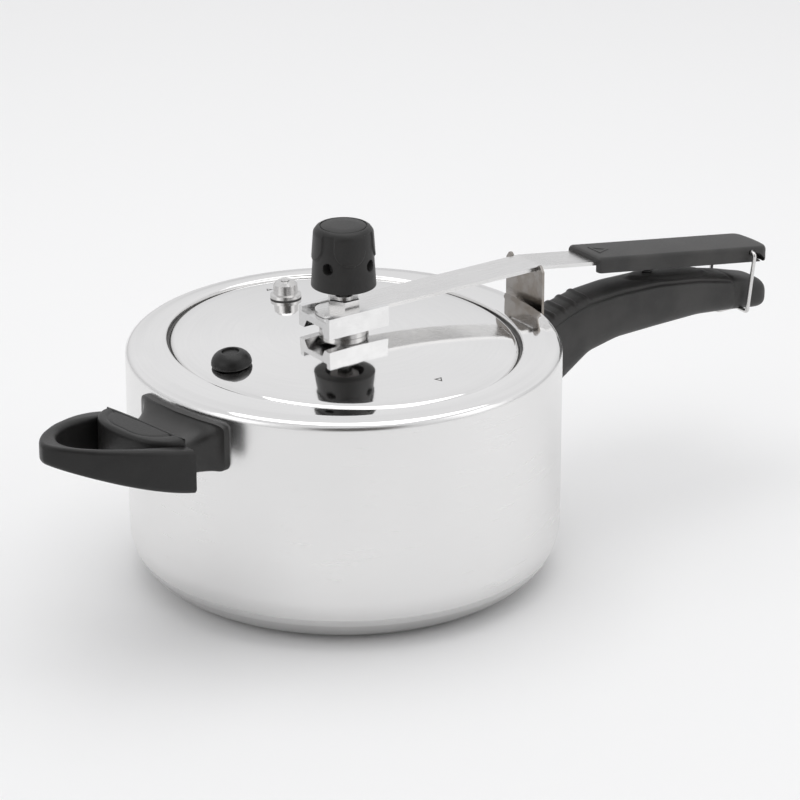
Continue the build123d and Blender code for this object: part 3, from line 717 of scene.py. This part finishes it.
saddle = {
    "plate": (30.5, 12.5, 102.6), "neck": (20.0, 10.0, 98.6), "front": 113.0, "back": 110.05,
    "reach": 131.9, "steps": 22, "around": 160,
}


def saddleOutline(half, tall, middle, squareness):
    turns = [2 * math.pi * i / saddle["around"] for i in range(saddle["around"])]
    across = [half * spread(math.cos(a), squareness) for a in turns]
    heights = [middle + tall * spread(math.sin(a), squareness) for a in turns]
    return list(zip(across, heights))


# A trumpet from the neck out to a plate that hugs the wall, then the plate's edge and back
def buildSaddle():
    spot = saddle
    back = spot["back"]
    neck = saddleOutline(*spot["neck"], 0.45)
    plate = saddleOutline(*spot["plate"], 0.20)
    middle = spot["plate"][2]
    rings = []
    for j in range(spot["steps"] + 1):
        t = math.pi / 2 * j / spot["steps"]
        flare = (1 - math.cos(t)) * 0.985
        inward = math.sin(t) ** 0.85
        ring = []
        for (ny, nz), (py, pz) in zip(neck, plate):
            y = ny + (py - ny) * flare
            z = nz + (pz - nz) * flare
            x = spot["reach"] * (1 - inward) + math.sqrt(spot["front"] ** 2 - y ** 2) * inward
            ring.append(turnHelper((x, y, z)))
        rings.append(ring)
    edge = [(0.995, spot["front"] - 0.15), (1.0, spot["front"] - 0.6), (1.0, back)]
    for size, radius in edge + [(size, back) for size in (0.8, 0.55, 0.3, 0.05)]:
        ring = []
        for y, z in plate:
            x = math.sqrt(radius ** 2 - (y * size) ** 2)
            ring.append(turnHelper((x, y * size, middle + (z - middle) * size)))
        rings.append(ring)
    verts, faces = joinRings(rings)
    return addPiece(
        "helperSaddlePlate", verts, faces, [saddleBlack], "pot", ["helper_saddle"])


buildSaddle()
print("helper handle built")


lidHandle = {
    "start": 151.5, "end": 268.5, "bend": 116.0, "armTop": 139.2, "slope": math.tan(math.radians(8.5)),
    "cover": 3.0, "deep": 8.8, "wide": 27.2, "arm": 20.6, "armEnd": 258.0, "slotHalf": 1.5,
    "pinTrack": ((254.0, 118.4), (257.2, 116.9), (260.4, 114.6), (263.4, 111.5)),
}


def armTopAt(x):
    return lidHandle["armTop"] - max(0.0, x - lidHandle["bend"]) * lidHandle["slope"]


# The grip's section: a rounded top with a slight crown, and small radii at the bottom
def lidSection(width, top, low):
    edge = min(2.2, width * 0.5)
    side = top - 0.25 - edge
    points = []
    for i in range(9):
        a = math.pi / 2 * i / 8
        points.append((width - edge + edge * math.cos(a), side + edge * math.sin(a)))
    for i in range(1, 12):
        y = (width - edge) * (1 - 2 * i / 12)
        points.append((y, top - 0.25 * (y / max(0.1, width - edge)) ** 2))
    for i in range(9):
        a = math.pi / 2 + math.pi / 2 * i / 8
        points.append((-width + edge + edge * math.cos(a), side + edge * math.sin(a)))
    for corner, start in ((-width + 0.7, math.pi), (width - 0.7, 1.5 * math.pi)):
        for i in range(5):
            a = start + math.pi / 2 * i / 4
            points.append((corner + 0.7 * math.cos(a), low + 0.7 + 0.7 * math.sin(a)))
    return points


def lidHandleRings():
    spot = lidHandle
    half = spot["wide"] / 2
    start = spot["start"]
    xs = [start + 0.02, start + 0.3, start + 0.9, start + 1.8] + [156 + i * 4.0 for i in range(25)]
    xs += [254, 256, 258, 260, 262, 263.5, 265, 266.2, 267.1, 267.8, 268.2, 268.45]
    rings = []
    for x in xs:
        top = armTopAt(x) + spot["cover"]
        low = top - spot["deep"]
        early = max(0.0, 1 - (x - start) / 1.8)
        late = max(0.0, (x - 259.5) / 9.0)
        width = half * (1 - 0.035 * early ** 2) * (1 - late ** 3.2 * 0.86) ** 0.5
        drop = 0.9 * early ** 2 + 1.3 * late ** 4
        section = lidSection(width, top - drop, low + 0.3 * early ** 2 + 0.8 * late ** 4)
        rings.append([(x, y, z) for y, z in section])
    return rings


# The room under the top that the steel arm fills
def channelCutter():
    inset = lidHandle["arm"] / 2 + 0.2
    ends = (lidHandle["start"] - 4, lidHandle["armEnd"] + 0.1)
    box = [(x, y, z) for x in ends for y in (-inset, inset) for z in (80.0, armTopAt(x) + 0.05)]
    order = [(0, 1, 3, 2), (4, 6, 7, 5), (0, 4, 5, 1), (2, 3, 7, 6), (0, 2, 6, 4), (1, 5, 7, 3)]
    return blockMesh("channelCut", box, order)


# The slot that the wire bail's pins leave by, open at the end of the handle
def hookCutter():
    half = lidHandle["wide"] / 2
    track = lidHandle["pinTrack"]
    width = lidHandle["slotHalf"]
    outline = []
    for k, (x, z) in enumerate(track):
        if k == 0:
            dx, dz = track[1][0] - x, track[1][1] - z
        else:
            dx, dz = x - track[k - 1][0], z - track[k - 1][1]
        size = math.hypot(dx, dz)
        outline.append((x, z, -dz / size * width, dx / size * width, dx / size, dz / size))
    startX, startZ, acrossX, acrossZ, alongX, alongZ = outline[0]
    loop = []
    for i in range(13):
        t = math.pi * i / 12
        c, s = math.cos(t), width * math.sin(t)
        loop.append((startX + acrossX * c - alongX * s, startZ + acrossZ * c - alongZ * s))
    loop += [(x - ox, z - oz) for x, z, ox, oz, _, _ in outline[1:]]
    loop += [(x + ox, z + oz) for x, z, ox, oz, _, _ in reversed(outline[1:])]
    slot = [[(x, y, z) for x, z in loop] for y in (-half - 2, half + 2)]
    return blockMesh("hookCut", *joinRings(slot))


def buildLidHandle():
    body = blockMesh("lidGrip", *joinRings(lidHandleRings()))
    cutters = [channelCutter(), hookCutter()]
    for number, cutter in enumerate(cutters):
        cut = body.modifiers.new("cut%d" % number, "BOOLEAN")
        cut.operation = "DIFFERENCE"
        cut.solver = "EXACT"
        cut.object = cutter
    bpy.context.view_layer.update()
    shaped = bpy.data.meshes.new_from_object(body.evaluated_get(bpy.context.evaluated_depsgraph_get()))
    body.modifiers.clear()
    body.data = shaped
    for cutter in cutters:
        bpy.data.objects.remove(cutter)
    shaped.materials.clear()
    shaped.materials.append(handleBlack)
    for polygon in shaped.polygons:
        polygon.use_smooth = True
        polygon.material_index = 0
    shaped.set_sharp_from_angle(angle=math.radians(34))
    settle(body, "lid", ["lid_handle"])
    return body


buildLidHandle()


gripArrow = {"x": 162.5, "sunk": 0.3, "proud": 0.3}


# A raised triangular frame on the handle's top that points at the thumb
def buildGripArrow():
    x0 = gripArrow["x"]
    outer = [(x0 - 4.6, -5.4), (x0 - 4.6, 5.4), (x0 + 5.2, 0.0)]
    inner = [(x0 - 3.1, -3.0), (x0 - 3.1, 3.0), (x0 + 2.4, 0.0)]
    low = lidHandle["cover"] - gripArrow["sunk"]
    high = lidHandle["cover"] + gripArrow["proud"]
    verts = [(x, y, armTopAt(x) + up) for up in (low, high) for x, y in outer + inner]
    faces = []
    for i in range(3):
        j = (i + 1) % 3
        faces += [(6 + i, 6 + j, 9 + j, 9 + i), (i, j, 6 + j, 6 + i)]
        faces += [(3 + i, 9 + i, 9 + j, 3 + j), (i, 3 + i, 3 + j, j)]
    piece = addPiece("gripTriangle", verts, faces, [handleBlack], angle=30)
    soft = piece.modifiers.new("soft", "BEVEL")
    soft.width = 0.00018
    soft.segments = 2
    settle(piece, "lid")


buildGripArrow()
print("lid handle built")


valve = {
    "x": 5.0, "y": 60.5, "coils": 6, "perCoil": 24, "radius": 3.05, "wire": 0.45, "low": -3.9, "high": 7.1,
}


# The safety valve's coil, square to the lid's dome
def buildSpring():
    lean = valve["y"] / lid["dome"]
    curve = bpy.data.curves.new("valveCoil", "CURVE")
    curve.dimensions = "3D"
    curve.bevel_depth = valve["wire"] / 1000
    curve.bevel_resolution = 3
    line = curve.splines.new("POLY")
    steps = valve["coils"] * valve["perCoil"]
    line.points.add(steps)
    for i in range(steps + 1):
        t = i / steps
        a = 2 * math.pi * valve["coils"] * t
        z = valve["low"] + (valve["high"] - valve["low"]) * t
        x = valve["radius"] * math.cos(a)
        y = valve["radius"] * math.sin(a)
        across = valve["y"] + y * math.cos(lean) + z * math.sin(lean)
        height = lidHeight(valve["x"], valve["y"]) + z * math.cos(lean) - y * math.sin(lean)
        line.points[i].co = (*mm((valve["x"] + x, across, height)), 1.0)
    curve.materials.append(turnedSteel)
    settle(linkItem("valveCoil", curve), "lid", ["valve_spring"])


buildSpring()
print("valve spring built")


# The metal pieces that stay as the part's own nodes, with their finishes
kept = {
    "handle_pad": mirrorAluminium, "fulcrum_plate": plateSteel, "handle_inserts": castBrass,
    "handle_studs": turnedSteel, "bail_keeper": turnedSteel, "keeper_screws": turnedSteel,
    "helper_screw": turnedSteel, "lid_gasket": sealGrey, "boss_washer": turnedSteel, "bridge": extruded,
    "lever_arm": armSteel, "handle_rivets": turnedSteel, "vent_tube": turnedSteel, "vent_seal": sealGrey,
    "clamp_nut": turnedSteel, "weight_core": castWeight, "valve_body": turnedSteel, "valve_pin": turnedSteel,
    "valve_nut": turnedSteel, "valve_seal": sealGrey, "bail": wireSteel,
}
for name, material in kept.items():
    for place in nodes[name].material_slots:
        place.material = material
print("kept pieces finished")


studio = {
    "floor": 0.90, "floorSize": 6.0, "world": 0.86, "key": 8.0, "side": 2.2, "turn": math.radians(-35.0),
    "flagHeight": math.radians(22.0), "flagTurn": math.radians(7.0), "flagShade": 0.10,
    "lens": 177.8715, "sensor": 36.0, "distance": 2.0, "lift": 0.390, "target": (0.02816, 0.0, 0.08845),
}


def paleFloor():
    mesh = bpy.data.meshes.new("floor")
    size = studio["floorSize"]
    corners = [(-size, -size, 0), (size, -size, 0), (size, size, 0), (-size, size, 0)]
    mesh.from_pydata(corners, [], [(0, 1, 2, 3)])
    floor = linkItem("floor", mesh)
    f = Finish("floorPaper")
    tone = f.noise(f.place(), 3.0, 2.0)
    colour = f.mix(tone, grey(studio["floor"] * 0.99), grey(studio["floor"]))
    mesh.materials.append(f.done(**{"Base Color": colour, "Roughness": 0.85}))


def aim(item, target):
    item.rotation_euler = (Vector(target) - item.location).to_track_quat("-Z", "Y").to_euler()


# Light and camera places are set for a camera on -y, then turned about the pot's axis
def around(x, y, z):
    c, s = math.cos(studio["turn"]), math.sin(studio["turn"])
    return Vector((x * c - y * s, x * s + y * c, z))


def softBox(name, place, target, size, power):
    light = bpy.data.lights.new(name, "AREA")
    light.shape = "RECTANGLE"
    light.size, light.size_y = size
    light.energy = power
    item = linkItem(name, light)
    item.location = around(*place)
    aim(item, around(*target))


# A pale dome that is brightest high up, with a dark flag behind the camera
def studioLight():
    sky = Sky()
    direction = sky.node("ShaderNodeTexCoord")
    split = sky.node("ShaderNodeSeparateXYZ", inputs={0: direction}, output=2)
    shades = ((0.0, 0.62), (0.50, 0.72), (0.56, 0.86), (0.70, 1.0), (0.90, 0.92), (1.0, 0.80))
    stops = [(position, (level * 0.99, level * 0.99, level)) for position, level in shades]
    dome = sky.node("ShaderNodeValToRGB", {"stops": stops}, {0: split * 0.5 + 0.5})
    rise, swing = studio["flagHeight"], studio["flagTurn"]
    flag = around(math.sin(swing) * math.cos(rise), -math.cos(swing) * math.cos(rise), math.sin(rise))
    ends = {0: direction, 1: tuple(flag)}
    toward = sky.node("ShaderNodeVectorMath", {"operation": "DOT_PRODUCT"}, ends, 1)
    shade = sky.mix(toward.smooth(0.88, 0.95), dome, grey(studio["flagShade"], 0.06))
    sky.done(**{"Color": shade, "Strength": studio["world"]})
    bpy.context.scene.world = sky.item
    softBox("topBox", (0.1, 0.2, 1.5), (0, 0, 0), (1.6, 1.2), studio["key"])
    softBox("leftBox", (-1.4, -0.9, 0.9), (0, 0, 0.08), (1.0, 1.2), studio["side"])
    softBox("rightBox", (1.5, -0.4, 0.8), (0, 0, 0.08), (0.8, 1.2), studio["side"] * 0.7)


def placeCamera():
    lens = bpy.data.cameras.new("view")
    lens.sensor_width = studio["sensor"]
    lens.lens = studio["lens"]
    lens.clip_end = 20.0
    item = linkItem("view", lens)
    lift, distance, target = studio["lift"], studio["distance"], studio["target"]
    item.location = around(target[0], -distance * math.cos(lift), target[2] + distance * math.sin(lift))
    aim(item, around(*target))
    bpy.context.scene.camera = item


paleFloor()
studioLight()
placeCamera()
bpy.context.scene.view_settings.view_transform = "Standard"
print("studio ready")
